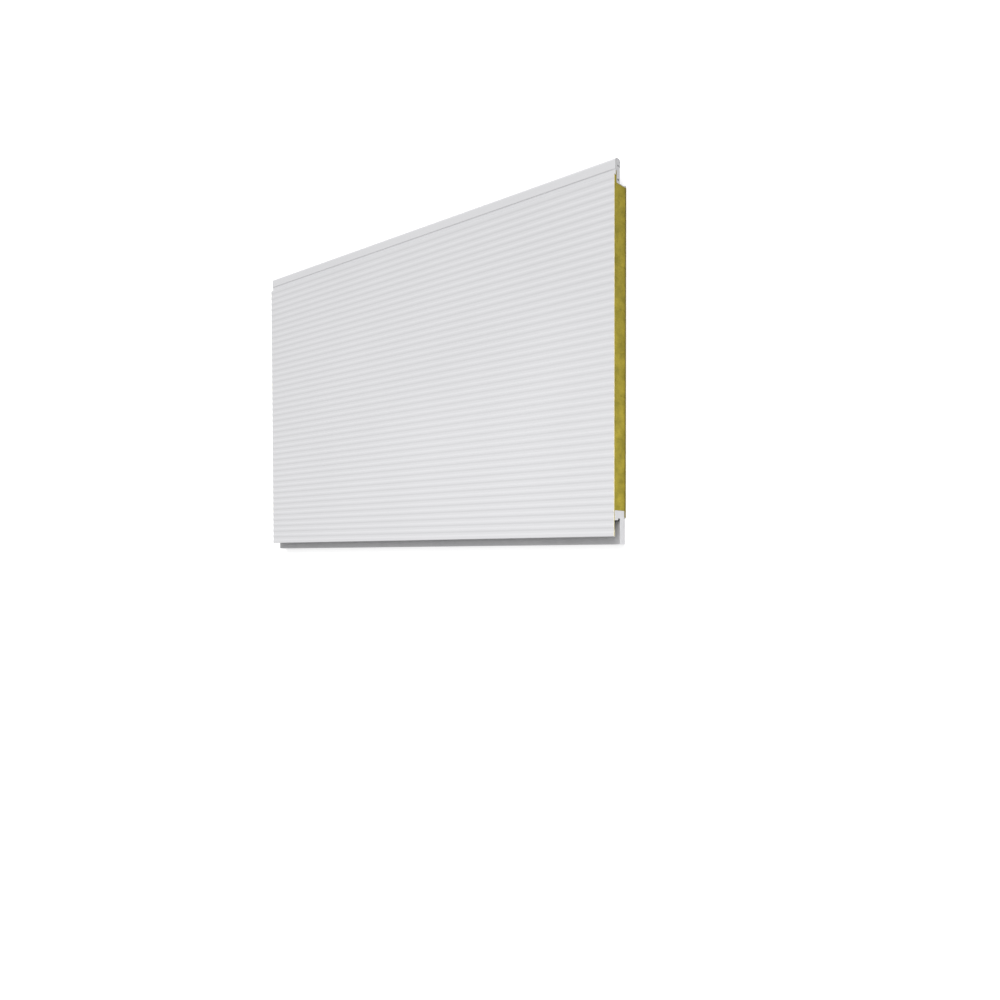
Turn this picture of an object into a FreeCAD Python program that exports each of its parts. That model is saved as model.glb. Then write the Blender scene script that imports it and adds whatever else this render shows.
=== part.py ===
import FreeCAD, Part

import math
import os

# Insulated metal wall panel with a concealed tongue and groove joint, lying on its inner face.
# X runs along the panel, Y across its cover width from the grooved edge to the tongued edge,
# and Z up through its thickness. The origin is at the bottom centre of the panel's box.
# Sections are drawn as (level, depth): level is measured up the wall from the bottom of the
# front lip, and depth is measured inwards from the crests of the outer face. All sizes in mm.

# The panel as a whole
length = 1600.0
cover_width = 1000.0
thickness = 60.0

# Sheets and glue
outer_steel = 0.6
inner_steel = 0.5
glue_line = 0.4
bend_radius = 1.5

# Micro-ribs rolled into the outer face
rib_pitch = 21.8
rib_depth = 1.0
groove_width = 12.0
flank_run = 5.0
rib_radius = 6.0
lip_band = 12.0
ledge_band = 10.0

# Shallow lines rolled into the inner face
liner_pitch = 100.0
liner_depth = 0.6
liner_width = 10.0
liner_flank = 2.0
liner_first = 75.0
liner_band = 20.0

# Tongued edge
joint_gap = 5.0
tongue_height = 42.0
tongue_width = 24.5
tongue_round = 8.0
head_height = 30.0
neck_set = 2.0
riser_width = 5.0
tongue_skirt = 22.0
tongue_hem = 5.0
shoulder_drop = 25.0
foot_height = 2.5
liner_upstand = 6.0

# Round ducts moulded through the foam of the tongue
head_duct = 5.0
head_duct_drop = 19.0
foot_duct = 6.5
foot_duct_rise = 7.0
duct_set_back = 2.5

# Grooved edge
lip_width = 6.0
lip_return = 20.0
tongue_clearance = 0.5
ceiling_height = 27.0
leg_gap = 1.0
leg_recess = 3.0
liner_step = 5.0
liner_hem = 10.0
tail_width = 4.0
tail_rise = 3.0

# Sealing strip let into the ceiling of the groove
seal_width = 8.0
seal_height = 8.0
seal_embedded = 5.0
seal_clearance = 0.5
seal_inset = 0.5

# Levels and depths that follow from the sizes above
half_outer = outer_steel / 2.0
half_inner = inner_steel / 2.0
ledge = cover_width - joint_gap
shoulder = cover_width - shoulder_drop
tongue_top = cover_width + tongue_height
head_foot = tongue_top - head_height
skirt_foot = tongue_top - tongue_skirt
head_front = lip_width + tongue_clearance
neck_front = head_front + neck_set
tongue_back = head_front + tongue_width
tongue_middle = head_front + tongue_width / 2.0
riser_back = neck_front + outer_steel + riser_width
riser_top = head_foot - neck_set - bend_radius
foot_top = shoulder + foot_height
seal_foot = tongue_height + seal_clearance
ceiling = seal_foot + seal_height - seal_embedded
core_foot = ceiling + ceiling_height
leg_foot = foot_height + leg_gap - shoulder_drop
leg_front = tongue_back + tongue_clearance
leg_back = thickness - leg_recess
seal_far = leg_front - seal_inset
seal_near = seal_far - seal_width
liner_foot = ceiling + liner_step
liner_top = shoulder + liner_upstand
core_front = outer_steel + rib_depth + glue_line
core_back = thickness - inner_steel - liner_depth - glue_line
tail_front = core_back - tail_width
tail_foot = liner_foot + tail_rise
middle_level = (leg_foot + tongue_top) / 2.0

# Ends of edges nearer than this are one corner
same_point = 1e-6


def place(point):
    """Point of the section at the panel's low X end."""
    level, depth = point
    return FreeCAD.Vector(-length / 2.0, level - middle_level, thickness - depth)


def shifted(point, direction, distance):
    return (point[0] + direction[0] * distance, point[1] + direction[1] * distance)


def heading(start, end):
    run = math.hypot(end[0] - start[0], end[1] - start[1])
    return ((end[0] - start[0]) / run, (end[1] - start[1]) / run)


def left_of(direction):
    return (-direction[1], direction[0])


def folded_line(corners, radii, offset):
    """Edges beside a folded line, as (start, middle or None, end), offset to its left."""
    edges = []
    first_side = left_of(heading(corners[0], corners[1]))
    here = shifted(corners[0], first_side, offset)
    for before, corner, after, radius in zip(corners, corners[1:], corners[2:], radii):
        come = heading(before, corner)
        leave = heading(corner, after)
        turn = math.atan2(come[0] * leave[1] - come[1] * leave[0],
                          come[0] * leave[0] + come[1] * leave[1])
        side = math.copysign(1.0, turn)
        reach = radius * math.tan(abs(turn) / 2.0)
        start = shifted(corner, come, -reach)
        end = shifted(corner, leave, reach)
        centre = shifted(start, left_of(come), side * radius)
        middle = shifted(centre, heading(centre, corner), radius - side * offset)
        start = shifted(start, left_of(come), offset)
        end = shifted(end, left_of(leave), offset)
        edges.append((here, None, start))
        edges.append((start, middle, end))
        here = end
    last_side = left_of(heading(corners[-2], corners[-1]))
    edges.append((here, None, shifted(corners[-1], last_side, offset)))
    return edges


def backwards(edges):
    return [(end, middle, start) for start, middle, end in reversed(edges)]


def extruded(*stretches, ducts=()):
    """Solid along the panel whose section runs through points and lists of edges in turn."""
    chain = []
    for stretch in stretches:
        chain += stretch if isinstance(stretch, list) else [(stretch, None, stretch)]
    edges = []
    here = chain[-1][2]
    for start, middle, end in chain:
        for edge in ((here, None, start), (start, middle, end)):
            run = math.hypot(edge[2][0] - edge[0][0], edge[2][1] - edge[0][1])
            if run < same_point:
                continue
            if edge[1] is None:
                edges.append(Part.makeLine(place(edge[0]), place(edge[2])))
            else:
                edges.append(Part.Arc(place(edge[0]), place(edge[1]), place(edge[2])).toShape())
        here = end
    section = Part.Face(Part.Wire(edges))
    for middle, diameter in ducts:
        rim = Part.makeCircle(diameter / 2.0, place(middle), FreeCAD.Vector(1, 0, 0))
        section = section.cut(Part.Face(Part.Wire([rim]))).Faces[0]
    return section.extrude(FreeCAD.Vector(length, 0, 0))


def folded_sheet(corners, radii, steel):
    """Sheet of even thickness folded along a line, which is the middle of the steel."""
    outside = folded_line(corners, radii, steel / 2.0)
    inside = folded_line(corners, radii, -steel / 2.0)
    return extruded(outside, backwards(inside))


def rib_corners():
    """Corners of the micro-ribs in the middle of the outer steel, from the ledge to the lip."""
    crest = half_outer
    valley = half_outer + rib_depth
    room = ledge - lip_band - groove_width - ledge_band
    corners = []
    for step in range(int(room / rib_pitch), -1, -1):
        low = lip_band + step * rib_pitch
        high = low + groove_width
        corners += [(high + flank_run / 2.0, crest), (high - flank_run / 2.0, valley),
                    (low + flank_run / 2.0, valley), (low - flank_run / 2.0, crest)]
    return corners


def liner_corners():
    """Corners of the shallow lines in the middle of the inner steel, from foot to top."""
    flat = thickness - half_inner
    raised = flat - liner_depth
    first = core_foot + liner_first
    room = shoulder - liner_band - liner_width / 2.0 - first
    corners = []
    for step in range(int(room / liner_pitch) + 1):
        centre = first + liner_pitch * step
        low = centre - liner_width / 2.0
        high = centre + liner_width / 2.0
        corners += [(low, flat), (low + liner_flank, raised),
                    (high - liner_flank, raised), (high, flat)]
    return corners


def tongue_corners():
    """Corners of the tongue in the middle of the outer steel, from its hem to the neck."""
    back = tongue_back - half_outer
    front = head_front + half_outer
    top = tongue_top - half_outer
    foot = skirt_foot + half_outer
    return [(foot, tongue_back - tongue_hem), (foot, back), (top, back), (top, front),
            (head_foot, front), (head_foot - neck_set, neck_front + half_outer)]


tongue_radii = [bend_radius, tongue_round, tongue_round, bend_radius, bend_radius]


def make_outer_sheet():
    """Ribbed face with its tongue at the top edge and its returned lip at the bottom edge."""
    ribs = rib_corners()
    neck_bottom = (ledge - half_outer, neck_front + half_outer)
    ledge_edge = (ledge - half_outer, half_outer)
    lip_return_depth = lip_width - half_outer
    lip = [(half_outer, half_outer), (half_outer, lip_return_depth), (lip_return, lip_return_depth)]
    corners = tongue_corners() + [neck_bottom, ledge_edge] + ribs + lip
    radii = tongue_radii + [bend_radius] * 2 + [rib_radius] * len(ribs) + [bend_radius] * 2
    return folded_sheet(corners, radii, outer_steel)


def make_inner_sheet():
    """Lined back face, hemmed into the foam at its foot and standing up past the core."""
    foot = liner_foot + half_inner
    back = thickness - half_inner
    corners = [(foot, thickness - liner_hem), (foot, back)] + liner_corners() + [(liner_top, back)]
    radii = [bend_radius] * (len(corners) - 2)
    return folded_sheet(corners, radii, inner_steel)


def make_front_adhesive():
    """Glue between the flat wool and the back of the ribbed face."""
    edge_margin = bend_radius + half_outer
    ribs = rib_corners()
    corners = [(ledge - edge_margin, half_outer)] + ribs + [(edge_margin, half_outer)]
    contact = folded_line(corners, [rib_radius] * len(ribs), -half_outer)
    return extruded(contact, (edge_margin, core_front), (ledge - edge_margin, core_front))


def make_back_adhesive():
    """Glue between the flat wool and the lined back face."""
    back = thickness - half_inner
    lines = liner_corners()
    corners = [(tail_foot, back)] + lines + [(shoulder, back)]
    contact = folded_line(corners, [bend_radius] * len(lines), -half_inner)
    return extruded(contact, (shoulder, core_back), (tail_foot, core_back))


def make_wool_core():
    """Mineral wool, with fingers up behind the neck, down behind the lip and down the back."""
    lip_inside = lip_width - outer_steel
    neck_inside = neck_front + outer_steel
    clip = bend_radius - half_outer
    return extruded(
        (ledge - outer_steel, core_front),
        (outer_steel, core_front),
        (outer_steel, lip_inside - clip),
        (outer_steel + clip, lip_inside),
        (core_foot, lip_inside),
        (core_foot, tail_front),
        (tail_foot, tail_front),
        (tail_foot, core_back),
        (shoulder, core_back),
        (shoulder, riser_back),
        (riser_top, riser_back),
        (riser_top, neck_inside),
        (ledge - outer_steel, neck_inside))


def make_tongue_strip():
    """Rigid foam that fills the steel tongue and stands on the wool with a foot across it."""
    neck_end = (riser_top, neck_front + half_outer)
    contact = folded_line(tongue_corners() + [neck_end], tongue_radii, -half_outer)
    back_inside = tongue_back - outer_steel
    duct_depth = tongue_middle + duct_set_back
    head_middle = (tongue_top - head_duct_drop, duct_depth)
    foot_middle = (foot_top + foot_duct_rise, duct_depth)
    return extruded(
        contact,
        (riser_top, riser_back),
        (shoulder, riser_back),
        (shoulder, thickness - inner_steel),
        (foot_top, thickness - inner_steel),
        (foot_top, back_inside),
        (skirt_foot, back_inside),
        (skirt_foot, tongue_back - tongue_hem),
        ducts=((head_middle, head_duct), (foot_middle, foot_duct)))


def make_groove_strip():
    """Rigid foam that roofs the groove and forms its back leg, slotted for seal and liner."""
    back = thickness - half_inner
    foot = liner_foot + half_inner
    hem = thickness - liner_hem
    lip_inside = lip_width - outer_steel
    slot_top = seal_foot + seal_height
    contact = folded_line([(foot, hem), (foot, back), (tail_foot, back)], [bend_radius],
                          -half_inner)
    return extruded(
        contact,
        (tail_foot, tail_front),
        (core_foot, tail_front),
        (core_foot, lip_inside),
        (ceiling, lip_inside),
        (ceiling, seal_near),
        (slot_top, seal_near),
        (slot_top, seal_far),
        (ceiling, seal_far),
        (ceiling, leg_front),
        (leg_foot, leg_front),
        (leg_foot, leg_back),
        (liner_foot, leg_back),
        (liner_foot, hem))


def make_joint_seal():
    """Soft sealing strip with a flat back and a round nose that stands out of its slot."""
    nose_level = seal_foot + seal_width / 2.0
    nose_tip = (seal_foot, (seal_near + seal_far) / 2.0)
    nose = [((nose_level, seal_near), nose_tip, (nose_level, seal_far))]
    slot_top = seal_foot + seal_height
    return extruded((slot_top, seal_near), nose, (slot_top, seal_far))


nodes = {
    "outer_sheet": make_outer_sheet(),
    "inner_sheet": make_inner_sheet(),
    "front_adhesive": make_front_adhesive(),
    "back_adhesive": make_back_adhesive(),
    "wool_core": make_wool_core(),
    "tongue_strip": make_tongue_strip(),
    "groove_strip": make_groove_strip(),
    "joint_seal": make_joint_seal(),
}

os.makedirs("parts", exist_ok=True)
cubic_centimetre = 1000.0
for name, shape in nodes.items():
    shape.exportStep("parts/" + name + ".step")
    box = shape.BoundBox
    print(name, "valid" if shape.isValid() else "not valid", "solids", len(shape.Solids),
          "volume", round(shape.Volume / cubic_centimetre, 1), "cm3",
          "Y", round(box.YMin, 2), round(box.YMax, 2), "Z", round(box.ZMin, 2), round(box.ZMax, 2))
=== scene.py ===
# %% [markdown]
# # Insulated metal wall panel
#
# This lesson dresses the solid model of a sandwich panel: two coated steel sheets glued to a
# core of mineral wool, with a concealed tongue and groove along the long edges. The panel lies
# on its inner face on a pale floor. X runs along it, Y goes from the grooved edge to the
# tongued edge, and Z rises out of the ribbed outer face. All sizes are in metres.

import math
import random

import bmesh
import bpy
from mathutils import Matrix, Vector


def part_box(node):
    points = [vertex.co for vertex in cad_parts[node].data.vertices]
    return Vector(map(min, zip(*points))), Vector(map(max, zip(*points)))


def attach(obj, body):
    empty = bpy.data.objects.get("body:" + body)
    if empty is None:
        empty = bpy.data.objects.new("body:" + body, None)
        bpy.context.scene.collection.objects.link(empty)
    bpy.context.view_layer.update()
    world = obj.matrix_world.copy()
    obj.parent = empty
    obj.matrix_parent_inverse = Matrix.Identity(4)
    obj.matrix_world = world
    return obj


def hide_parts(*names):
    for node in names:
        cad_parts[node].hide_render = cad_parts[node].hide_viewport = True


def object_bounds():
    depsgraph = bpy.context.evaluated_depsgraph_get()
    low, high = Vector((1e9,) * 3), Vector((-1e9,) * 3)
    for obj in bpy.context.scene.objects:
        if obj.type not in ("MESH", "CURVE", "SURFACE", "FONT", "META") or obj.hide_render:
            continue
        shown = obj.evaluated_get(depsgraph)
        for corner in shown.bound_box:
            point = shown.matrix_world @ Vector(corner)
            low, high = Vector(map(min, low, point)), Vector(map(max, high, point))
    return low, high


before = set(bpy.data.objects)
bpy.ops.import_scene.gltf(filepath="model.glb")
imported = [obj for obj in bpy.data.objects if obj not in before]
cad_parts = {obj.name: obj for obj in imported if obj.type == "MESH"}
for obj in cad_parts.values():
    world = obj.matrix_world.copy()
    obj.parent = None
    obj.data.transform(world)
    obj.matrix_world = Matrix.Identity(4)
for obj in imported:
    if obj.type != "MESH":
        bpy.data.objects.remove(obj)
cad_low, cad_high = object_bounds()
MM = 0.001
length = cad_high.x - cad_low.x
print("nodes", sorted(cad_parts))
print("box in mm", [round(v / MM, 1) for v in (cad_high - cad_low)])

# %% [markdown]
# ## Level and depth
#
# The section of a wall panel is easiest to think of as it hangs on a wall. Level is the height
# above the foot of the front lip, and depth goes inwards from the crests of the outer face.
# Most of the section can be read from the boxes of the solids, so the new pieces follow the
# solids if they change. The rest are sizes that a box doesn't show, and they have names here.

# %% Levels and depths read from the solids
lip_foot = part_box("outer_sheet")[0].y
face_height = cad_high.z


def place(level, depth):
    """Y and Z of a point of the section."""
    return lip_foot + level, face_height - depth


def reach_of(node):
    """Lowest and highest level, then lowest and highest depth, of a solid."""
    low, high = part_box(node)
    return low.y - lip_foot, high.y - lip_foot, face_height - high.z, face_height - low.z


tongue_top, tongue_back = reach_of("outer_sheet")[1], reach_of("outer_sheet")[3]
liner_foot, liner_top, hem_tip, back_face = reach_of("inner_sheet")
tail_foot, shoulder = reach_of("back_adhesive")[:2]
wool_foot, riser_top, core_front, core_back = reach_of("wool_core")
leg_foot, core_foot, lip_inside = reach_of("groove_strip")[:3]
head_inside = reach_of("tongue_strip")[2]
seal_foot, seal_top, seal_near, seal_far = reach_of("joint_seal")
print("tongue top at level", round(tongue_top / MM, 2), "core from", round(core_foot / MM, 2))

# %% Sizes of the section that the boxes don't show
outer_steel = 0.6 * MM
inner_steel = 0.5 * MM
bend_radius = 1.5 * MM
rib_pitch = 21.8 * MM
rib_depth = 1.0 * MM
groove_width = 12.0 * MM
flank_run = 5.0 * MM
rib_radius = 6.0 * MM
lip_band = 12.0 * MM
ledge_band = 10.0 * MM
liner_pitch = 100.0 * MM
liner_depth = 0.6 * MM
liner_width = 10.0 * MM
liner_flank = 2.0 * MM
liner_first = 75.0 * MM
liner_band = 20.0 * MM
joint_gap = 5.0 * MM
tongue_height = 42.0 * MM
head_height = 30.0 * MM
neck_set = 2.0 * MM
riser_width = 5.0 * MM
tail_width = 4.0 * MM
tongue_round = 8.0 * MM
tongue_skirt = 22.0 * MM
tongue_hem = 5.0 * MM
foot_height = 2.5 * MM
seal_embedded = 5.0 * MM
seal_inset = 0.5 * MM
leg_recess = 3.0 * MM
lip_return = 20.0 * MM
head_duct = 5.0 * MM
head_duct_drop = 19.0 * MM
foot_duct = 6.5 * MM
foot_duct_rise = 7.0 * MM
duct_set_back = 2.5 * MM

cover_width = tongue_top - tongue_height
ledge = cover_width - joint_gap
head_front = head_inside - outer_steel
neck_front = head_front + neck_set
neck_inside = neck_front + outer_steel
riser_back = neck_inside + riser_width
head_foot = tongue_top - head_height
skirt_foot = tongue_top - tongue_skirt
foot_top = shoulder + foot_height
ceiling = seal_top - seal_embedded
leg_front = seal_far + seal_inset
leg_back = back_face - leg_recess
tail_front = core_back - tail_width
print("cover width", round(cover_width / MM, 2), "mm, ledge at level", round(ledge / MM, 2))

# %% [markdown]
# ## Colours and shader nodes
#
# Paint and wool are easiest to name by their screen colour, a hex value. Cycles works with
# linear light, so one function turns the hex value to linear. Shader trees get long, so one
# small function adds a node, sets it up and links it, and returns it for the next one.


# %% Helpers for materials
def linear(hex_colour):
    """Linear red, green, blue and alpha of an sRGB hex colour such as "E4E5E7"."""
    shares = [int(hex_colour[i:i + 2], 16) / 255 for i in (0, 2, 4)]
    return [c / 12.92 if c <= 0.04045 else ((c + 0.055) / 1.055) ** 2.4 for c in shares] + [1]


def add_node(material, kind, inputs=None, **settings):
    """One shader node with its settings, and with its inputs set to values or linked."""
    made = material.node_tree.nodes.new(kind)
    for name, value in settings.items():
        setattr(made, name, value)
    for socket, value in (inputs or {}).items():
        if isinstance(value, bpy.types.NodeSocket):
            material.node_tree.links.new(value, made.inputs[socket])
        else:
            made.inputs[socket].default_value = value
    return made


def new_material(name):
    """Empty material with an output node, which is returned too."""
    material = bpy.data.materials.new(name)
    material.use_nodes = True
    material.node_tree.nodes.clear()
    output = add_node(material, "ShaderNodeOutputMaterial")
    return material, output


def finish_material(material, output, shader):
    """Links the shader to the output and returns the material."""
    material.node_tree.links.new(shader.outputs["BSDF"], output.inputs["Surface"])
    print("material", material.name, "with", len(material.node_tree.nodes), "nodes")
    return material


def waves_per(size):
    """Noise scale whose lumps are about this size in metres."""
    return 1.0 / size


# %% [markdown]
# ## Coil-coated steel
#
# The sheets are galvanised steel, painted on a coil line before they are rolled to shape.
# The paint is an even, satin polyester with a faint orange peel, so the colour hardly varies
# and the gloss is soft. Where a sheet is sheared, at both ends of the panel, the cut shows
# bare steel on the tongue, drawn a much darker grey than bare steel is, as painted shade along
# the tongue's outline. Beside the wool the cut is smeared, with cream glue in front, and at the
# back with a dark olive that is partly wool dust and partly painted shade. The cuts are the only
# faces that look along X, so the surface normal picks them out, and their place along Y tells the
# bare ones from the smeared ones. Materials of their own, face by face, would do as well, but
# this way a sheet keeps to one.


# %% Coil-coated steel
facing_along_x = 0.9
# Above this level the cut ends are bare steel, drawn much darker than it is, as painted shade along
# the tongue's outline.
bare_from = place(ledge - bend_radius, 0)[0]
print("cut ends are bare above level", round((ledge - bend_radius) / MM, 1))


def coil_coated_steel(name, paint, shade, smear_and_shade_dark, smear_and_shade_pale):
    """Painted sheet, with a slow drift between two tones and with its cut ends picked out."""
    material, output = new_material(name)
    place_on = add_node(material, "ShaderNodeTexCoord").outputs["Object"]
    geometry = add_node(material, "ShaderNodeNewGeometry")

    drift = add_node(material, "ShaderNodeTexNoise",
                     {"Vector": place_on, "Scale": waves_per(350 * MM), "Detail": 2.0})
    colour = add_node(material, "ShaderNodeMix",
                      {"Factor": drift.outputs["Fac"], "A": linear(shade), "B": linear(paint)},
                      data_type="RGBA")

    along = add_node(material, "ShaderNodeSeparateXYZ", {"Vector": geometry.outputs["True Normal"]})
    facing = add_node(material, "ShaderNodeMath", {0: along.outputs["X"]}, operation="ABSOLUTE")
    cut = add_node(material, "ShaderNodeMath", {0: facing.outputs[0], 1: facing_along_x},
                   operation="GREATER_THAN")
    grain = add_node(material, "ShaderNodeTexNoise",
                     {"Vector": place_on, "Scale": waves_per(1.2 * MM), "Detail": 3.0})
    # Bare steel in a dark grey, far darker than galvanised steel, as painted shade at the tongue's
    # cut edges.
    bare_in_painted_shade = add_node(material, "ShaderNodeMix",
                    {"Factor": grain.outputs["Fac"], "A": linear("4C4A47"), "B": linear("74726D")},
                    data_type="RGBA")
    # On the outer sheet the smear is cream glue. On the inner sheet its dark olive is partly wool
    # dust and partly painted shade along the back edge of the wool.
    smear_and_painted_shade = add_node(material, "ShaderNodeMix",
                     {"Factor": grain.outputs["Fac"], "A": linear(smear_and_shade_dark),
                      "B": linear(smear_and_shade_pale)}, data_type="RGBA")
    across = add_node(material, "ShaderNodeSeparateXYZ", {"Vector": place_on})
    beside_wool = add_node(material, "ShaderNodeMath", {0: across.outputs["Y"], 1: bare_from},
                           operation="LESS_THAN")
    edge = add_node(material, "ShaderNodeMix",
                    {"Factor": beside_wool.outputs[0], "A": bare_in_painted_shade.outputs["Result"],
                     "B": smear_and_painted_shade.outputs["Result"]}, data_type="RGBA")
    shine = add_node(material, "ShaderNodeMath", {0: cut.outputs[0], 1: beside_wool.outputs[0]},
                     operation="SUBTRACT", use_clamp=True)
    seen = add_node(material, "ShaderNodeMix",
                    {"Factor": cut.outputs[0], "A": colour.outputs["Result"],
                     "B": edge.outputs["Result"]}, data_type="RGBA")

    handling = add_node(material, "ShaderNodeTexNoise",
                        {"Vector": place_on, "Scale": waves_per(60 * MM), "Detail": 3.0})
    rough = add_node(material, "ShaderNodeMapRange",
                     {"Value": handling.outputs["Fac"], "To Min": 0.38, "To Max": 0.48})

    peel = add_node(material, "ShaderNodeTexNoise",
                    {"Vector": place_on, "Scale": waves_per(1.6 * MM), "Detail": 2.0})
    bump = add_node(material, "ShaderNodeBump",
                    {"Height": peel.outputs["Fac"], "Strength": 0.12, "Distance": 0.2 * MM})
    shader = add_node(material, "ShaderNodeBsdfPrincipled",
                      {"Base Color": seen.outputs["Result"], "Metallic": shine.outputs[0],
                       "Roughness": rough.outputs["Result"], "Normal": bump.outputs["Normal"],
                       "IOR": 1.5})
    return finish_material(material, output, shader)


outer_paint = coil_coated_steel("coil_coated_steel_white", "D2D2D4", "CECED0",
                                "E6DDBF", "F6F0D8")
# Inner sheet: its cut ends are smeared dark olive, partly wool dust and partly painted shade along
# the back edge.
inner_paint = coil_coated_steel("coil_coated_steel_backing_white", "CBCCCC", "C5C6C6",
                                "4A4426", "6A6138")

# %% [markdown]
# ## Cured polyurethane glue
#
# The sheets are stuck to the wool with a foaming glue. It cures to a cream, matt film full of
# small bubbles. It shows as a thin line at the cut ends, where a little of it was pressed out.
# At the back the glue is drawn dark olive, darker than the wool, as painted shade along the
# back edge. The bubbles are under a millimetre, too small to model, so they are a bump.


# %% Glue
def polyurethane_glue(name, dark, pale):
    """Matt, bubbly glue that varies between two tones."""
    material, output = new_material(name)
    place_on = add_node(material, "ShaderNodeTexCoord").outputs["Object"]
    tone = add_node(material, "ShaderNodeTexNoise",
                    {"Vector": place_on, "Scale": waves_per(12 * MM), "Detail": 4.0})
    colour = add_node(material, "ShaderNodeMix",
                      {"Factor": tone.outputs["Fac"], "A": linear(dark), "B": linear(pale)},
                      data_type="RGBA")
    bubbles = add_node(material, "ShaderNodeTexVoronoi",
                       {"Vector": place_on, "Scale": waves_per(0.8 * MM)})
    bump = add_node(material, "ShaderNodeBump",
                    {"Height": bubbles.outputs["Distance"], "Strength": 0.5, "Distance": 0.3 * MM})
    shader = add_node(material, "ShaderNodeBsdfPrincipled",
                      {"Base Color": colour.outputs["Result"], "Roughness": 0.7,
                       "Normal": bump.outputs["Normal"], "IOR": 1.5})
    return finish_material(material, output, shader)


glue = polyurethane_glue("polyurethane_glue", "D2C28E", "EBE2C0")
# Dark olive glue, as painted shade along the back edge of the wool.
glue_in_painted_shade = polyurethane_glue("polyurethane_glue_painted_shade", "6E642A", "8A7E3A")

# %% [markdown]
# ## Rigid foam strips
#
# The joint is shaped by two strips of light-grey rigid foam, sawn from a block. Sawing opens
# the small cells, which gives a dull surface with fine pits, and the blade leaves faint lines
# a few millimetres apart. Real cells are a third of a millimetre across. They are drawn at
# 1.2 mm, so that they show in a close view.


# %% Foam strips
def sawn_rigid_foam():
    """Dull, pitted foam with the lines of the blade across its length."""
    material, output = new_material("sawn_rigid_foam")
    place_on = add_node(material, "ShaderNodeTexCoord").outputs["Object"]
    tone = add_node(material, "ShaderNodeTexNoise",
                    {"Vector": place_on, "Scale": waves_per(30 * MM), "Detail": 3.0})
    colour = add_node(material, "ShaderNodeMix",
                      {"Factor": tone.outputs["Fac"], "A": linear("ABABAD"), "B": linear("BABABC")},
                      data_type="RGBA")
    cells = add_node(material, "ShaderNodeTexVoronoi",
                     {"Vector": place_on, "Scale": waves_per(1.2 * MM)})
    # A wave texture repeats about three times for each unit of its scale, so every 2.5 mm here.
    saw = add_node(material, "ShaderNodeTexWave",
                   {"Vector": place_on, "Scale": waves_per(8 * MM), "Distortion": 1.5,
                    "Detail": 2.0}, bands_direction="X")
    relief = add_node(material, "ShaderNodeMath",
                      {0: saw.outputs["Fac"], 1: 0.35, 2: cells.outputs["Distance"]},
                      operation="MULTIPLY_ADD")
    bump = add_node(material, "ShaderNodeBump",
                    {"Height": relief.outputs[0], "Strength": 0.5, "Distance": 0.4 * MM})
    shader = add_node(material, "ShaderNodeBsdfPrincipled",
                      {"Base Color": colour.outputs["Result"], "Roughness": 0.85,
                       "Normal": bump.outputs["Normal"], "IOR": 1.45})
    return finish_material(material, output, shader)


foam = sawn_rigid_foam()

# %% [markdown]
# The walls of the two ducts in the tongue are coloured dark grey, as painted shade deep in the
# ducts. The colour is even and the surface fairly smooth, so plain values do.

# %% Dark duct walls as painted shade
duct_painted_shade, duct_painted_shade_output = new_material("duct_walls_painted_shade")
duct_painted_shade_shader = add_node(duct_painted_shade, "ShaderNodeBsdfPrincipled",
                         {"Base Color": linear("4A4A4C"), "Roughness": 0.5})
finish_material(duct_painted_shade, duct_painted_shade_output, duct_painted_shade_shader)

# %% [markdown]
# ## Sealing strip
#
# The strip in the ceiling of the groove is soft cellular rubber, black and quite matt.


# %% Seal
def cellular_rubber():
    """Matt black rubber with fine pores."""
    material, output = new_material("cellular_rubber")
    place_on = add_node(material, "ShaderNodeTexCoord").outputs["Object"]
    pores = add_node(material, "ShaderNodeTexNoise",
                     {"Vector": place_on, "Scale": waves_per(0.8 * MM), "Detail": 3.0})
    colour = add_node(material, "ShaderNodeMix",
                      {"Factor": pores.outputs["Fac"], "A": linear("141414"),
                       "B": linear("2A2A2A")}, data_type="RGBA")
    bump = add_node(material, "ShaderNodeBump",
                    {"Height": pores.outputs["Fac"], "Strength": 0.6, "Distance": 0.3 * MM})
    shader = add_node(material, "ShaderNodeBsdfPrincipled",
                      {"Base Color": colour.outputs["Result"], "Roughness": 0.9,
                       "Normal": bump.outputs["Normal"], "IOR": 1.5})
    return finish_material(material, output, shader)


rubber = cellular_rubber()

# %% [markdown]
# ## Mineral wool
#
# The core is spun stone fibre bonded with resin and cut into bars. The bars stand with their
# fibres across the panel, so that they carry the sheets. On the sawn ends the fibres show as
# fine streaks from sheet to sheet, over soft patches of lighter and darker olive, and each bar
# has a tone of its own. A single fibre is far too thin to show, so the streaks are drawn as
# tufts about 2 mm across.


# %% Mineral wool
bar_width = 120.0 * MM
print("bars of wool", round(bar_width / MM), "mm wide")


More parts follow.
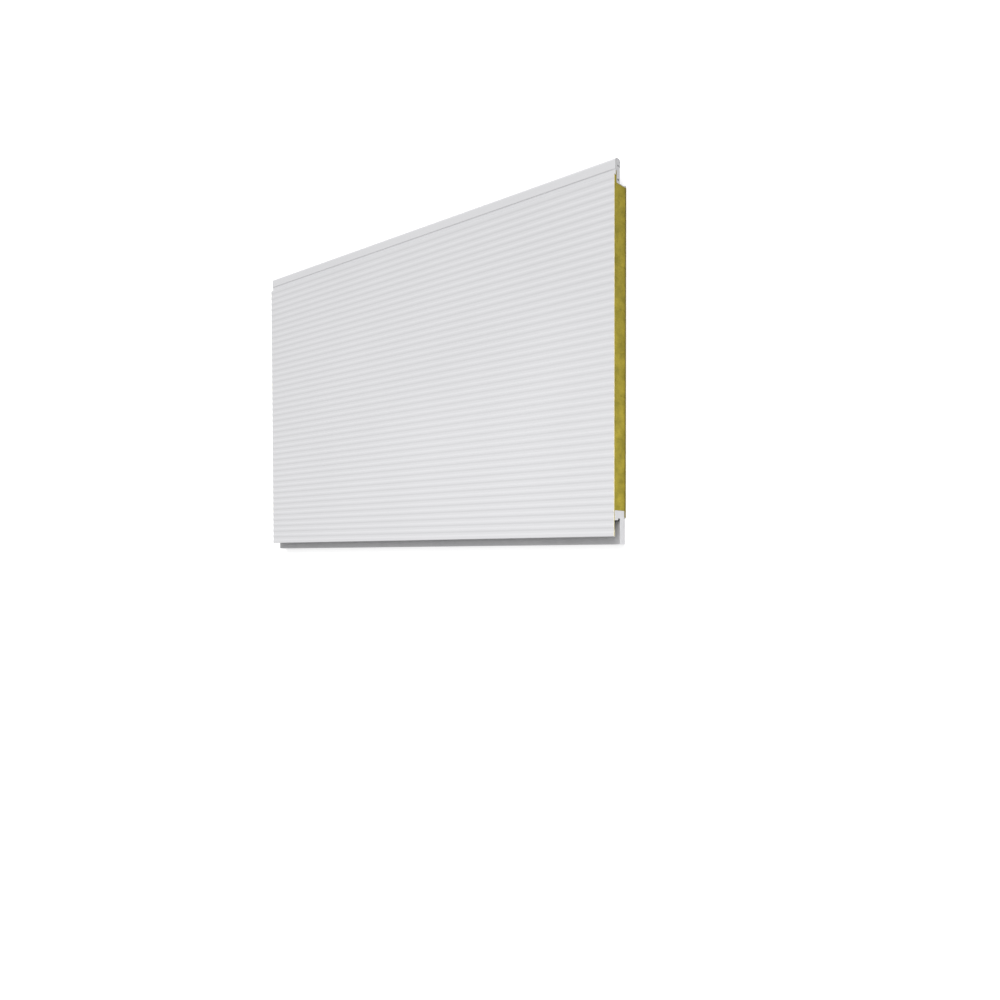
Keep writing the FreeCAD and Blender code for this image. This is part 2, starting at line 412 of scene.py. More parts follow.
def bonded_mineral_wool():
    """Olive wool with soft patches, a tone for each bar and streaks along Z."""
    material, output = new_material("bonded_mineral_wool")
    place_on = add_node(material, "ShaderNodeTexCoord").outputs["Object"]
    streak_place = add_node(material, "ShaderNodeMapping",
                            {"Vector": place_on, "Scale": (1.0, 1.0, 0.18)})
    patches = add_node(material, "ShaderNodeTexNoise",
                       {"Vector": place_on, "Scale": waves_per(40 * MM), "Detail": 3.0,
                        "Roughness": 0.55})
    ground = add_node(material, "ShaderNodeValToRGB", {"Fac": patches.outputs["Fac"]})
    ground.color_ramp.elements[0].position = 0.32
    ground.color_ramp.elements[0].color = linear("7A7018")
    ground.color_ramp.elements[1].position = 0.68
    ground.color_ramp.elements[1].color = linear("988A28")

    split = add_node(material, "ShaderNodeSeparateXYZ", {"Vector": place_on})
    count = add_node(material, "ShaderNodeMath",
                     {0: split.outputs["Y"], 1: waves_per(bar_width)}, operation="MULTIPLY")
    bar = add_node(material, "ShaderNodeMath", {0: count.outputs[0]}, operation="FLOOR")
    chance = add_node(material, "ShaderNodeTexWhiteNoise", {"W": bar.outputs[0]},
                      noise_dimensions="1D")
    bar_tone = add_node(material, "ShaderNodeMapRange",
                        {"Value": chance.outputs["Value"], "To Min": 0.96, "To Max": 1.04})

    streaks = add_node(material, "ShaderNodeTexNoise",
                       {"Vector": streak_place.outputs["Vector"], "Scale": waves_per(1.8 * MM),
                        "Detail": 5.0, "Roughness": 0.7})
    strand = add_node(material, "ShaderNodeMapRange",
                      {"Value": streaks.outputs["Fac"], "From Min": 0.3, "From Max": 0.7,
                       "To Min": 0.84, "To Max": 1.12})
    tone = add_node(material, "ShaderNodeMath",
                    {0: bar_tone.outputs["Result"], 1: strand.outputs["Result"]},
                    operation="MULTIPLY")
    tinted = add_node(material, "ShaderNodeVectorMath",
                      {0: ground.outputs["Color"], "Scale": tone.outputs[0]}, operation="SCALE")
    bump = add_node(material, "ShaderNodeBump",
                    {"Height": streaks.outputs["Fac"], "Strength": 0.8, "Distance": 0.8 * MM})
    shader = add_node(material, "ShaderNodeBsdfPrincipled",
                      {"Base Color": tinted.outputs["Vector"], "Roughness": 0.95,
                       "Normal": bump.outputs["Normal"], "IOR": 1.45})
    return finish_material(material, output, shader)


wool = bonded_mineral_wool()

# %% [markdown]
# ## Working by hand, in code
#
# An operator acts on all that is selected, so every step starts by selecting just what it
# needs. Edges and faces are picked by where they lie. A finished piece gets its material, rides
# on the panel and hides the solid it stands for.


# %% Helpers for modelling
def select_where(piece, kind, test):
    """In edit mode, selects just the vertices, edges or faces that pass the test."""
    bpy.ops.mesh.select_mode(type=kind)
    bpy.ops.mesh.select_all(action="DESELECT")
    shape = bmesh.from_edit_mesh(piece.data)
    parts = {"VERT": shape.verts, "EDGE": shape.edges, "FACE": shape.faces}[kind]
    chosen = [part for part in parts if test(part)]
    for part in chosen:
        part.select_set(True)
    shape.select_flush_mode()
    bmesh.update_edit_mesh(piece.data)
    return len(chosen)


def take_up(name):
    """Names the primitive just added and bakes its place, so that its object sits at the origin."""
    piece = bpy.context.active_object
    piece.name = name
    piece.data.name = name
    bpy.ops.object.transform_apply(location=True, rotation=True, scale=True)
    return piece


def select_only(*pieces):
    """In object mode, selects just these pieces and makes the first one active."""
    bpy.ops.object.select_all(action="DESELECT")
    for piece in pieces:
        piece.select_set(True)
    bpy.context.view_layer.objects.active = pieces[0]


def apply_modifier(piece, kind, **settings):
    """Adds a modifier with its settings and applies it at once."""
    modifier = piece.modifiers.new(kind.lower(), kind)
    for name, value in settings.items():
        setattr(modifier, name, value)
    select_only(piece)
    bpy.ops.object.modifier_apply(modifier=modifier.name)


crease = 35
print("edges sharper than", crease, "degrees stay sharp")


def smooth(piece, degrees=crease):
    """Smooth shading over bends, with flat faces kept flat."""
    select_only(piece)
    bpy.ops.object.shade_smooth_by_angle(angle=math.radians(degrees))
    apply_modifier(piece, "WEIGHTED_NORMAL", keep_sharp=True)


def join(pieces, name):
    """Makes one piece of several, under the name given."""
    select_only(*pieces)
    bpy.ops.object.join()
    joined = bpy.context.active_object
    joined.name = name
    return joined


def describe(piece):
    """Prints a piece's faces, open edges, volume and box, to compare with its solid."""
    shape = bmesh.new()
    shape.from_mesh(piece.data)
    triangles = sum(len(face.verts) - 2 for face in shape.faces)
    loose = sum(1 for edge in shape.edges if not edge.is_manifold)
    volume = shape.calc_volume(signed=True) * 1e6
    shape.free()
    low = [min(v.co[axis] for v in piece.data.vertices) / MM for axis in range(3)]
    high = [max(v.co[axis] for v in piece.data.vertices) / MM for axis in range(3)]
    print(piece.name, triangles, "triangles, open edges", loose, "volume", round(volume, 1), "cm3",
          [round(v, 2) for v in low], [round(v, 2) for v in high])


def settle(piece, material, slot, *solids):
    """Finishes a piece: its material, the body it rides on and the solids it stands for."""
    if not piece.data.materials:
        piece.data.materials.append(material)
    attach(piece, "root")
    if solids:
        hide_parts(*solids)
    describe(piece)


# %% [markdown]
# ## Drawing a shape along the panel
#
# Everything here is a section carried along the panel, as roll forming and sawing make it. One
# edge of a plane, as long as the panel, is pulled from corner to corner of the section. Then
# each fold is bevelled to its bend radius. The bevel takes a distance along the sheet, which
# for a bend of radius r through an angle t is r tan(t / 2). A curve could carry the section
# too, but with folds each radius can be set by itself.

# %% Extrude an edge through the corners
middle_x = (cad_low.x + cad_high.x) / 2
print("middle of the length at X", round(middle_x / MM, 2))


def drawn_along(name, corners):
    """Surface as long as the panel, through the corners of a section, as (level, depth)."""
    bpy.ops.object.select_all(action="DESELECT")
    y, z = place(*corners[0])
    bpy.ops.mesh.primitive_plane_add(size=length, location=(middle_x, y + length / 2, z))
    piece = take_up(name)
    bpy.ops.object.mode_set(mode="EDIT")
    select_where(piece, "VERT", lambda vert: vert.co.y > y + length / 2)
    bpy.ops.mesh.delete(type="VERT")
    bpy.ops.mesh.select_all(action="SELECT")
    for here, there in zip(corners, corners[1:]):
        step = (0.0, there[0] - here[0], here[1] - there[1])
        bpy.ops.mesh.extrude_edges_move(TRANSFORM_OT_translate={"value": step})
    bpy.ops.object.mode_set(mode="OBJECT")
    return piece


# %% Bevel the folds
step_of_bend = math.radians(15)
wide_bend = 3 * bend_radius
no_turn = 1e-6
decimals = 6


def spot(level, depth):
    """A corner's place, rounded so that it can be looked up."""
    return tuple(round(v, decimals) for v in place(level, depth))


def bend(piece, corners, radii):
    """Rounds the fold at each inner corner to its radius, a wide bend in twice the steps."""
    groups = {}
    for before, corner, after, radius in zip(corners, corners[1:], corners[2:], radii):
        come = Vector(corner) - Vector(before)
        leave = Vector(after) - Vector(corner)
        turn = come.angle(leave)
        if turn < no_turn or radius == 0.0:
            continue
        reach = radius * math.tan(turn / 2)
        steps = max(2, math.ceil(turn / step_of_bend))
        if radius > wide_bend:
            steps *= 2
        groups.setdefault((round(reach, 7), steps), set()).add(spot(*corner))
    bpy.ops.object.mode_set(mode="EDIT")
    for (reach, steps), spots in sorted(groups.items()):
        select_where(piece, "EDGE", lambda edge: (
            abs(edge.verts[0].co.x - edge.verts[1].co.x) > length / 2
            and tuple(round(v, decimals) for v in edge.verts[0].co.yz) in spots))
        bpy.ops.mesh.bevel(offset_type="OFFSET", offset=reach, segments=steps, profile=0.5,
                           affect="EDGES", clamp_overlap=False)
    bpy.ops.object.mode_set(mode="OBJECT")
    print(piece.name, "bent at", sum(len(spots) for spots in groups.values()), "folds")


# %% [markdown]
# ## The two sheets
#
# A sheet is its middle line with bends, thickened evenly to both sides. Solidify does that,
# and it also closes the sheared ends. The outer sheet runs from the hem at the back of the
# tongue, over its head, down the neck and the ledge, along 45 grooves and round the lip.


# %% Corners of the outer sheet
def rib_corners():
    """Corners of the grooves rolled into the face, from the ledge down to the lip."""
    crest = outer_steel / 2
    valley = crest + rib_depth
    room = ledge - lip_band - groove_width - ledge_band
    corners = []
    for step in range(int(room / rib_pitch), -1, -1):
        low = lip_band + step * rib_pitch
        high = low + groove_width
        corners += [(high + flank_run / 2, crest), (high - flank_run / 2, valley),
                    (low + flank_run / 2, valley), (low - flank_run / 2, crest)]
    return corners


def tongue_corners(inset):
    """Corners of the tongue from its hem to the neck, set in from the steel's outside."""
    back = tongue_back - inset
    front = head_front + inset
    top = tongue_top - inset
    foot = skirt_foot + inset
    return [(foot, tongue_back - tongue_hem), (foot, back), (top, back), (top, front),
            (head_foot, front), (head_foot - neck_set, neck_front + inset)]


tongue_radii = [bend_radius, tongue_round, tongue_round, bend_radius, bend_radius]
half_outer = outer_steel / 2
lip_back = lip_inside + half_outer
ribs = rib_corners()
outer_corners = tongue_corners(half_outer) + [
    (ledge - half_outer, neck_front + half_outer), (ledge - half_outer, half_outer)]
outer_corners += ribs + [
    (half_outer, half_outer), (half_outer, lip_back), (lip_return, lip_back)]
outer_radii = tongue_radii + [bend_radius] * 2 + [rib_radius] * len(ribs) + [bend_radius] * 2
print("corners of the outer sheet", len(outer_corners))


# %% Roll the sheets
def rolled_sheet(name, corners, radii, steel):
    """Sheet of this thickness, from the corners of its middle line and their bend radii."""
    piece = drawn_along(name, corners)
    bend(piece, corners, radii)
    apply_modifier(piece, "SOLIDIFY", thickness=steel, offset=0.0, use_even_offset=True)
    smooth(piece)
    return piece


ribbed_face = rolled_sheet("ribbed_face", outer_corners, outer_radii, outer_steel)
settle(ribbed_face, outer_paint, "outer_steel", "outer_sheet")

# %% [markdown]
# The inner sheet is flat apart from a shallow line every 100 mm, which stiffens it. Its foot is
# hemmed into the foam strip.


# %% Inner sheet
def liner_corners():
    """Corners of the shallow lines rolled into the inner sheet, from its foot up."""
    flat = back_face - inner_steel / 2
    raised = flat - liner_depth
    first = core_foot + liner_first
    room = shoulder - liner_band - liner_width / 2 - first
    corners = []
    for step in range(int(room / liner_pitch) + 1):
        low = first + liner_pitch * step - liner_width / 2
        high = low + liner_width
        corners += [(low, flat), (low + liner_flank, raised), (high - liner_flank, raised),
                    (high, flat)]
    return corners


half_inner = inner_steel / 2
liner_back = back_face - half_inner
inner_corners = [(liner_foot + half_inner, hem_tip), (liner_foot + half_inner, liner_back)]
inner_corners += liner_corners() + [(liner_top, liner_back)]
liner_face = rolled_sheet("liner_face", inner_corners, [bend_radius] * (len(inner_corners) - 2),
                          inner_steel)
settle(liner_face, inner_paint, "inner_steel", "inner_sheet")

# %% [markdown]
# ## The foam strips
#
# A strip is drawn the same way, but its section closes on itself. The ends are then filled and
# drawn in behind the steel, by a hair over the groove and by a little more in the tongue, where
# the foam has shrunk back. The ducts are bored right through, and the drill leaves a dark grey on
# their walls, as painted shade inside the ducts.


# %% Helpers for the strips
same_point = 0.01 * MM
drill_overrun = 10.0 * MM
print("the drill runs", drill_overrun / MM, "mm past each end")


def sawn_strip(name, corners, radii, end_recess):
    """Solid strip along the panel, from the corners of its section in order."""
    ring = corners + corners[:2]
    piece = drawn_along(name, corners + corners[:1])
    bpy.ops.object.mode_set(mode="EDIT")
    bpy.ops.mesh.select_all(action="SELECT")
    bpy.ops.mesh.remove_doubles(threshold=same_point)
    bpy.ops.object.mode_set(mode="OBJECT")
    bend(piece, ring, radii)
    bpy.ops.object.mode_set(mode="EDIT")
    for end in (cad_low.x, cad_high.x):
        select_where(piece, "EDGE", lambda edge: all(abs(v.co.x - end) < MM for v in edge.verts))
        bpy.ops.mesh.edge_face_add()
        inwards = math.copysign(end_recess, -end)
        bpy.ops.transform.translate(value=(inwards, 0.0, 0.0))
    bpy.ops.mesh.select_all(action="SELECT")
    bpy.ops.mesh.normals_make_consistent(inside=False)
    bpy.ops.object.mode_set(mode="OBJECT")
    piece.data.materials.append(foam)
    return piece


def bore(piece, level, depth, diameter):
    """Takes a round duct out of a strip from end to end."""
    y, z = place(level, depth)
    bpy.ops.object.select_all(action="DESELECT")
    bpy.ops.mesh.primitive_cylinder_add(vertices=32, radius=diameter / 2,
                                        depth=length + 2 * drill_overrun,
                                        location=(middle_x, y, z), rotation=(0, math.pi / 2, 0))
    drill = take_up("drill")
    # The drill's dark grey is left on the duct walls as painted shade.
    drill.data.materials.append(duct_painted_shade)
    apply_modifier(piece, "BOOLEAN", operation="DIFFERENCE", solver="EXACT", object=drill,
                   material_mode="TRANSFER")
    bpy.data.objects.remove(drill)


# %% Strip in the tongue
tongue_recess = 0.7 * MM
tongue_room = tongue_corners(outer_steel)
foot_back = back_face - inner_steel
tongue_outline = tongue_room[:5] + [
    (head_foot - neck_set, neck_inside), (riser_top, neck_inside), (riser_top, riser_back),
    (shoulder, riser_back), (shoulder, foot_back), (foot_top, foot_back),
    (foot_top, tongue_back - outer_steel), (skirt_foot, tongue_back - outer_steel),
    (skirt_foot, tongue_back - tongue_hem)]
tight = bend_radius - half_outer
wide = bend_radius + half_outer
round_inside = tongue_round - half_outer
strip_radii = [tight, round_inside, round_inside, tight, wide]
strip_radii += [0.0] * (len(tongue_outline) - len(strip_radii))
tongue_filler = sawn_strip("tongue_filler", tongue_outline, strip_radii, tongue_recess)
duct_depth = (head_front + tongue_back) / 2 + duct_set_back
bore(tongue_filler, tongue_top - head_duct_drop, duct_depth, head_duct)
bore(tongue_filler, foot_top + foot_duct_rise, duct_depth, foot_duct)
smooth(tongue_filler)
settle(tongue_filler, foam, "edge_foam", "tongue_strip")

# %% Strip over the groove
groove_recess = 0.4 * MM
foot_inside = liner_foot + inner_steel
groove_outline = [
    (foot_inside, hem_tip), (foot_inside, foot_back), (tail_foot, foot_back),
    (tail_foot, tail_front), (core_foot, tail_front), (core_foot, lip_inside),
    (ceiling, lip_inside), (ceiling, seal_near), (seal_top, seal_near), (seal_top, seal_far),
    (ceiling, seal_far), (ceiling, leg_front), (leg_foot, leg_front), (leg_foot, leg_back),
    (liner_foot, leg_back), (liner_foot, hem_tip)]
groove_radii = [bend_radius - half_inner] + [0.0] * (len(groove_outline) - 1)
groove_filler = sawn_strip("groove_filler", groove_outline, groove_radii, groove_recess)
smooth(groove_filler)
settle(groove_filler, foam, "edge_foam", "groove_strip")

# %% [markdown]
# ## The seal
#
# The sealing strip is half a round bar with a flat back. It could be drawn from corners, as the
# foam is, but a cylinder has the round nose already. It is cut along its middle, and the flat
# side that the cut leaves is pulled up into the slot.

# %% Seal
seal_radius = (seal_far - seal_near) / 2
nose_y, nose_z = place(seal_foot + seal_radius, (seal_near + seal_far) / 2)
bpy.ops.object.select_all(action="DESELECT")
bpy.ops.mesh.primitive_cylinder_add(vertices=48, radius=seal_radius, depth=length,
                                    location=(middle_x, nose_y, nose_z),
                                    rotation=(0, math.pi / 2, 0))
seal = take_up("seal_strip")
facing_up = 0.99
bpy.ops.object.mode_set(mode="EDIT")
bpy.ops.mesh.select_all(action="SELECT")
bpy.ops.mesh.bisect(plane_co=(0, nose_y, 0), plane_no=(0, 1, 0), clear_outer=True, use_fill=True)
select_where(seal, "FACE", lambda face: face.normal.y > facing_up)
back_reach = seal_top - seal_foot - seal_radius
bpy.ops.mesh.extrude_region_move(TRANSFORM_OT_translate={"value": (0, back_reach, 0)})
bpy.ops.mesh.select_all(action="SELECT")
bpy.ops.mesh.normals_make_consistent(inside=False)
bpy.ops.object.mode_set(mode="OBJECT")
smooth(seal)
settle(seal, rubber, "seal_rubber", "joint_seal")

# %% [markdown]
# ## The wool core
#
# The wool is hidden between the sheets but for its two sawn ends, so the detail goes there. A
# section pulled along like the foam would leave one face at each end, with no points to move.
# So a fine grid is laid over one end, trimmed to the section and pulled through to the other.
# A saw tears wool rather than cuts it. The ends come out lumpy, with fibres dragged along
# their own direction, and the wool stands back a little where it meets a sheet and where two
# bars meet. Two displacements give the lumps and the drag, and only the end faces take them.
#
# The section is a stack of five rectangles, each with its lowest and highest level and its
# lowest and highest depth: the core, the finger in the lip, the tail behind the groove's strip,
# and the lower and upper parts of the riser behind the ledge and the neck.

# %% Blocks of the wool's section
wool_blocks = [
    (core_foot, shoulder, core_front, core_back),
    (wool_foot, core_foot, core_front, lip_inside),
    (tail_foot, core_foot, tail_front, core_back),
    (shoulder, ledge - outer_steel, core_front, riser_back),
    (ledge - outer_steel, riser_top, neck_inside, riser_back)]
print("wool blocks", len(wool_blocks))


def in_wool(level, depth):
    """True for a point of the section that lies in the wool."""
    return any(low <= level <= high and near <= depth <= far
               for low, high, near, far in wool_blocks)


def section_of(point):
    """Level and depth of a point."""
    return point.y - lip_foot, face_height - point.z


# %% Grid over one end, trimmed to the section
wool_cell = 1.8 * MM
on_plane = 1e-6
low_y, high_z = place(wool_foot, core_front)
high_y, low_z = place(riser_top, core_back)
bpy.ops.object.select_all(action="DESELECT")
bpy.ops.mesh.primitive_grid_add(x_subdivisions=round((high_z - low_z) / wool_cell),
                                y_subdivisions=round((high_y - low_y) / wool_cell), size=1.0)
grid = bpy.context.active_object
grid.scale = (high_z - low_z, high_y - low_y, 1.0)
grid.rotation_euler = (0.0, math.pi / 2, 0.0)
grid.location = (cad_high.x, (low_y + high_y) / 2, (low_z + high_z) / 2)
wool_body = take_up("wool_body")
bpy.ops.object.mode_set(mode="EDIT")
for level in (tail_foot, core_foot, shoulder, ledge - outer_steel):
    bpy.ops.mesh.select_all(action="SELECT")
    bpy.ops.mesh.bisect(plane_co=(0, place(level, 0)[0], 0), plane_no=(0, 1, 0),
                        threshold=on_plane)
for depth in (lip_inside, neck_inside, riser_back, tail_front):
    bpy.ops.mesh.select_all(action="SELECT")
    bpy.ops.mesh.bisect(plane_co=(0, 0, place(0, depth)[1]), plane_no=(0, 0, 1),
                        threshold=on_plane)
outside = select_where(wool_body, "FACE",
                       lambda face: not in_wool(*section_of(face.calc_center_median())))
bpy.ops.mesh.delete(type="FACE")
print("cells cut away", outside)

# %% Pull the end through to the other end
end_skin = 3.0 * MM
bpy.ops.mesh.select_all(action="SELECT")
for run in (end_skin, length - 2 * end_skin, end_skin):
    bpy.ops.mesh.extrude_region_move(TRANSFORM_OT_translate={"value": (-run, 0.0, 0.0)})
bpy.ops.mesh.select_all(action="SELECT")
bpy.ops.mesh.normals_make_consistent(inside=False)
print("wool pulled through in steps of", end_skin / MM, "mm at the ends")

# %% Press the ends back at the sheets and between the bars
ends = {1: cad_high.x, -1: cad_low.x}


def press_in(amount, test):
    """Moves the points of both end faces that pass the test inwards."""
    for side, end in ends.items():
        pressed = select_where(wool_body, "VERT", lambda vert: (
            abs(vert.co.x - end) < end_skin / 2 and test(*section_of(vert.co))))
        bpy.ops.transform.translate(value=(-side * amount, 0.0, 0.0))
        print("pressed in by", round(amount / MM, 1), "mm:", pressed, "points")


def beside_edge(reach):
    """Test for points of the section that are nearer than this to its outline."""
    around = ((reach, 0), (-reach, 0), (0, reach), (0, -reach))
    return lambda level, depth: not all(in_wool(level + up, depth + back) for up, back in around)


def at_bar_joint(reach):
    """Test for points that are nearer than this to a joint between two bars."""
    return lambda level, depth: abs((level + lip_foot + bar_width / 2) % bar_width
                                    - bar_width / 2) < reach


press_in(0.5 * MM, beside_edge(2.5 * MM))
press_in(0.7 * MM, beside_edge(1.0 * MM))
press_in(0.9 * MM, at_bar_joint(1.2 * MM))
bpy.ops.object.mode_set(mode="OBJECT")

# %% Tear the ends
torn_crease = 50
ruler = bpy.data.objects.new("ruler", None)
bpy.context.scene.collection.objects.link(ruler)
end_points = wool_body.vertex_groups.new(name="ends")
end_points.add([vert.index for vert in wool_body.data.vertices
                if abs(vert.co.x - middle_x) > length / 2 - end_skin * 0.8], 1.0, "REPLACE")


def tear(size, stretch, amount, detail):
    """Displaces the end faces by cloud noise of this lump size, drawn out along Z."""
    clouds = bpy.data.textures.new("tear", "CLOUDS")
    clouds.noise_scale = size
    clouds.noise_depth = detail
    ruler.scale = (1.0, 1.0, stretch)
    bpy.context.view_layer.update()
    apply_modifier(wool_body, "DISPLACE", texture=clouds, texture_coords="OBJECT",
                   texture_coords_object=ruler, direction="X", vertex_group="ends",
                   strength=amount, mid_level=0.5)


tear(size=22.0 * MM, stretch=1.0, amount=1.4 * MM, detail=2)
tear(size=3.2 * MM, stretch=3.5, amount=1.3 * MM, detail=3)
bpy.data.objects.remove(ruler)
smooth(wool_body, torn_crease)
settle(wool_body, wool, "mineral_wool", "wool_core")

# %% [markdown]
# ## Loose fibres
#
# Torn fibres stand off the sawn ends. One is modelled, a three-sided hair with two bends, and
# drawn 0.2 mm thick, many times a real fibre, so that it shows. It is copied all over both
# ends, each copy leaning, lifted and stretched by chance, and the copies are joined. Particle
# hair could grow them too, but copies are a plain mesh at once. The draws start from a fixed
# seed, so every run gives the same ends.

# %% One fibre
fibre_length = 9.0 * MM
fibre_radius = 0.11 * MM
fibre_bow = 0.8 * MM
bend_share = 0.17
bpy.ops.object.select_all(action="DESELECT")
bpy.ops.mesh.primitive_cylinder_add(vertices=3, radius=fibre_radius, depth=fibre_length)
fibre = take_up("fibre")
bpy.ops.object.mode_set(mode="EDIT")
for share in (-bend_share, bend_share):
    bpy.ops.mesh.select_all(action="SELECT")
    bpy.ops.mesh.bisect(plane_co=(0, 0, share * fibre_length), plane_no=(0, 0, 1))
bowed = select_where(fibre, "VERT", lambda vert: abs(vert.co.z) < 2 * bend_share * fibre_length)
bpy.ops.transform.translate(value=(fibre_bow, 0.0, 0.0))
bpy.ops.object.mode_set(mode="OBJECT")
print("fibre of", len(fibre.data.vertices), "points,", bowed, "of them bowed out")

# %% Copies of the fibre
fibre_count = 700
seam_margin = 4.0 * MM
sheet_margin = 7.0 * MM
rooting = 0.5 * MM


def scattered_fibre():
    """Copy of the fibre somewhere on an end, turned and stretched by chance."""
    side = random.choice((1, -1))
    level = random.uniform(core_foot + seam_margin, shoulder - seam_margin)
    depth = random.uniform(core_front + sheet_margin, core_back - sheet_margin)
    y, z = place(level, depth)
    lean = Matrix.Rotation(random.gauss(0.0, 0.5), 4, "X")
    lift = Matrix.Rotation(random.gauss(0.0, 0.12), 4, "Y")
    size = Matrix.Diagonal((side * random.uniform(0.4, 1.5), 1.0, random.uniform(0.5, 1.3), 1.0))
    root = Vector((ends[side] - side * rooting, y, z))
    hair = bpy.data.objects.new("hair", fibre.data.copy())
    hair.data.transform(Matrix.Translation(root) @ lean @ lift @ size)
    if side < 0:
        hair.data.flip_normals()
    bpy.context.scene.collection.objects.link(hair)
    return hair


random.seed(17)
fibres = [scattered_fibre() for _ in range(fibre_count)]
bpy.data.objects.remove(fibre)
loose_fibres = join(fibres, "loose_fibres")
settle(loose_fibres, wool, "mineral_wool")

# %% [markdown]
# ## Glue
#
# The glue films keep the shape of their solids and only get a finish. At each end the glue was
# pressed out along both sheets into uneven beads. The front one shows as the cream line beside
# the ribbed face. The back one is drawn dark olive, darker than the wool, as painted shade, and
# makes the dark line beside the inner sheet. A bead is a thin bar along the edge, cut into short
# stretches and made lumpy.


# %% Finish the glue films
def finish_node(name, material):
    """Gives a solid of the frame its finish, with its shape as it was."""
    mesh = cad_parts[name].data
    mesh.materials.clear()
    mesh.materials.append(material)
    print(name, "is finished in", material.name)


finish_node("front_adhesive", glue)
finish_node("back_adhesive", glue_in_painted_shade)

# %% A pair of beads, one at each end
bead_step = 3.0 * MM
bead_crease = 60
lump_size = 9.0 * MM


def lumpy_bead(end, low, high, depth, radius, lumpiness):
    """Bead along one end, from a level to another, with its middle line at this X."""
    bead_y, bead_z = place((low + high) / 2, depth)
    bpy.ops.object.select_all(action="DESELECT")
    bpy.ops.mesh.primitive_cylinder_add(vertices=10, radius=radius, depth=high - low,
                                        rotation=(math.pi / 2, 0, 0),
                                        location=(end, bead_y, bead_z))
    bead = take_up("bead")
    bpy.ops.object.mode_set(mode="EDIT")
    select_where(bead, "EDGE",
                 lambda edge: abs(edge.verts[0].co.y - edge.verts[1].co.y) > bead_step)
    bpy.ops.mesh.subdivide(number_cuts=int((high - low) / bead_step))
    bpy.ops.object.mode_set(mode="OBJECT")
    lumps = bpy.data.textures.new("lumps", "CLOUDS")
    lumps.noise_scale = lump_size
    apply_modifier(bead, "DISPLACE", texture=lumps, texture_coords="LOCAL",
                   strength=lumpiness, mid_level=0.5)
    return bead


def glue_beads(name, low, high, depth, overhang, radius, lumpiness):
    """Beads along both ends, with their middle line this far out from the cut."""
    beads = [lumpy_bead(end + side * overhang, low, high, depth, radius, lumpiness)
             for side, end in ends.items()]
    joined = join(beads, name)
    smooth(joined, bead_crease)
    return joined


# %% Beads along both sheets
front_beads = glue_beads("front_glue_beads", core_foot, ledge - 4.0 * MM, core_front - 0.1 * MM,
                         overhang=-0.6 * MM, radius=0.9 * MM, lumpiness=1.3 * MM)
settle(front_beads, glue, "adhesive")
# The back beads take the dark glue, painted shade along the inner sheet.
back_beads = glue_beads("back_glue_beads_painted_shade", tail_foot, shoulder, back_face - 1.5 * MM,
                        overhang=1.0 * MM, radius=1.1 * MM, lumpiness=0.7 * MM)
settle(back_beads, glue_in_painted_shade, "adhesive")

# %% [markdown]
# ## Camera
#
# The picture looks down on the panel from beyond its right-hand end, so that the ribbed face
# and the cut end both show, and the length of the panel runs away to the left. The camera looks
# nearly square to the panel's width, so lines along Y stay almost parallel, and the lens is
# shifted a little to bring the panel to its place in the picture. The camera's place, turns and
# focal length come from a least squares fit to the edges of the panel.

# %% Numbers of the camera
SENSOR = 36.0
PICTURE = 1000.0
FOCAL_PIXELS = 856.88
HORIZON_ROW = 575.42
yaw = math.radians(40.468)
pitch = math.radians(-1.31)
roll = math.radians(-0.127)
near_corner = Vector((cad_high.x, lip_foot, cad_high.z))
camera_place = near_corner + Vector((1.3012, -0.053, 2.011))
print("camera", round((camera_place - near_corner).length, 2), "m from the near corner")

# %% Camera
level_look = Vector((-math.sin(yaw), 0.0, -math.cos(yaw)))
up = Vector((0.0, 1.0, 0.0))
look = level_look * math.cos(pitch) + up * math.sin(pitch)
upright = up * math.cos(pitch) - level_look * math.sin(pitch)
sideways = level_look.cross(up)
rightwards = sideways * math.cos(roll) + upright * math.sin(roll)
upwards = upright * math.cos(roll) - sideways * math.sin(roll)

camera_data = bpy.data.cameras.new("camera")
camera_data.sensor_width = SENSOR
camera_data.lens = SENSOR * FOCAL_PIXELS / PICTURE
camera_data.shift_y = (HORIZON_ROW - PICTURE / 2) / PICTURE
camera = bpy.data.objects.new("camera", camera_data)
bpy.context.scene.collection.objects.link(camera)
turn = Matrix((rightwards, upwards, -look)).transposed().to_4x4()
camera.matrix_world = Matrix.Translation(camera_place) @ turn
bpy.context.scene.camera = camera
print("lens", round(camera_data.lens, 2), "mm, camera at", [round(v, 3) for v in camera_place])

# %% [markdown]
# ## Floor and light
#
# The floor is a white acrylic table, lit a little from below so that it holds no grey shadow,
# under an even white sky. A broad, soft light comes from the side of the tongued edge, so each
# groove has a bright lower flank and a darker upper one. No strong light comes from the other
# side, because it would even the flanks out again. A long strip light hangs over the half of
# the face beside the groove, and a low one stands beyond the near end, so that the end is
# brighter at the groove than at the tongue.

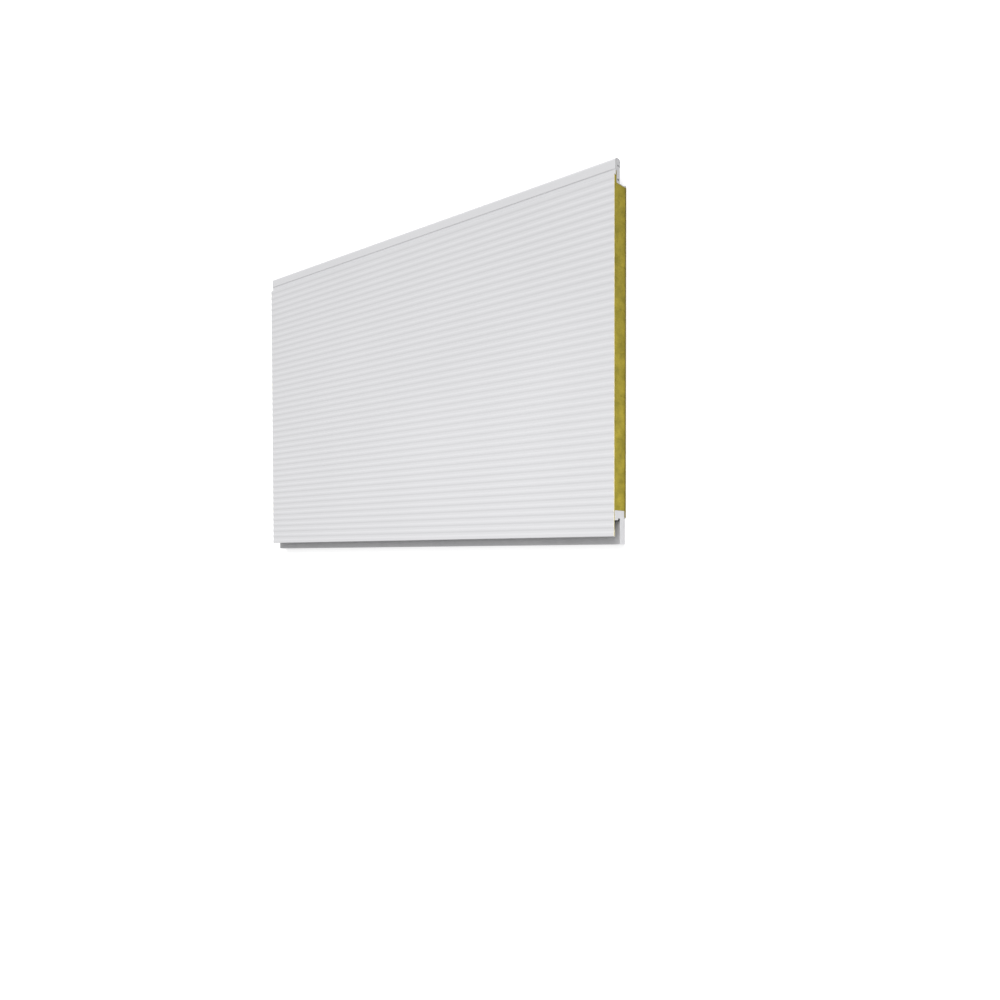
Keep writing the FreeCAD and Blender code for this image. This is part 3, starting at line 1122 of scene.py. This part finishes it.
# %% Floor
bpy.ops.object.select_all(action="DESELECT")
bpy.ops.mesh.primitive_plane_add(size=30.0, location=(0.0, 0.0, 0.0))
floor = bpy.context.active_object
floor.name = "studio_floor"
floor_paint, floor_output = new_material("studio_floor")
floor_shader = add_node(floor_paint, "ShaderNodeBsdfPrincipled",
                        {"Base Color": linear("E1E1E1"), "Roughness": 0.9,
                         "Emission Color": linear("FFFFFF"), "Emission Strength": 0.45})
floor.data.materials.append(finish_material(floor_paint, floor_output, floor_shader))


# %% Lights
def soft_sun(name, direction, strength, spread):
    """Distant light that shines from a direction, softened over an angle in degrees."""
    data = bpy.data.lights.new(name, "SUN")
    data.energy = strength
    data.angle = math.radians(spread)
    light = bpy.data.objects.new(name, data)
    light.rotation_euler = Vector(direction).to_track_quat("Z", "Y").to_euler()
    bpy.context.scene.collection.objects.link(light)
    print(name, "of strength", strength, "from", direction)


def strip_light(name, hung_at, target, sizes, watts):
    """Rectangular softbox that the camera doesn't see, its first size along X or along Y."""
    data = bpy.data.lights.new(name, "AREA")
    data.shape = "RECTANGLE"
    data.size, data.size_y = sizes
    data.energy = watts
    light = bpy.data.objects.new(name, data)
    light.visible_camera = False
    back = (Vector(hung_at) - Vector(target)).normalized()
    across = Vector((0.0, 1.0, 0.0)) if abs(back.x) > abs(back.z) else Vector((1.0, 0.0, 0.0))
    turn_of_light = Matrix((across, back.cross(across), back)).transposed().to_4x4()
    light.matrix_world = Matrix.Translation(hung_at) @ turn_of_light
    bpy.context.scene.collection.objects.link(light)
    print(name, "of", watts, "W at", hung_at)


# %% Sky and three lights
world = bpy.data.worlds.new("studio_air")
world.use_nodes = True
world.node_tree.nodes["Background"].inputs["Color"].default_value = (1.0, 1.0, 1.0, 1.0)
world.node_tree.nodes["Background"].inputs["Strength"].default_value = 0.63
bpy.context.scene.world = world
soft_sun("upper_light", direction=(0.1, 0.75, 0.65), strength=2.03, spread=50.0)
strip_light("face_light", hung_at=(0.25, -0.38, 1.1), target=(0.25, -0.38, 0.0),
            sizes=(2.4, 0.5), watts=2.8)
strip_light("end_light", hung_at=(1.5, -0.5, 0.06), target=(0.8, -0.4, 0.03),
            sizes=(0.9, 0.1), watts=2.7)
bpy.context.scene.view_settings.view_transform = "Standard"
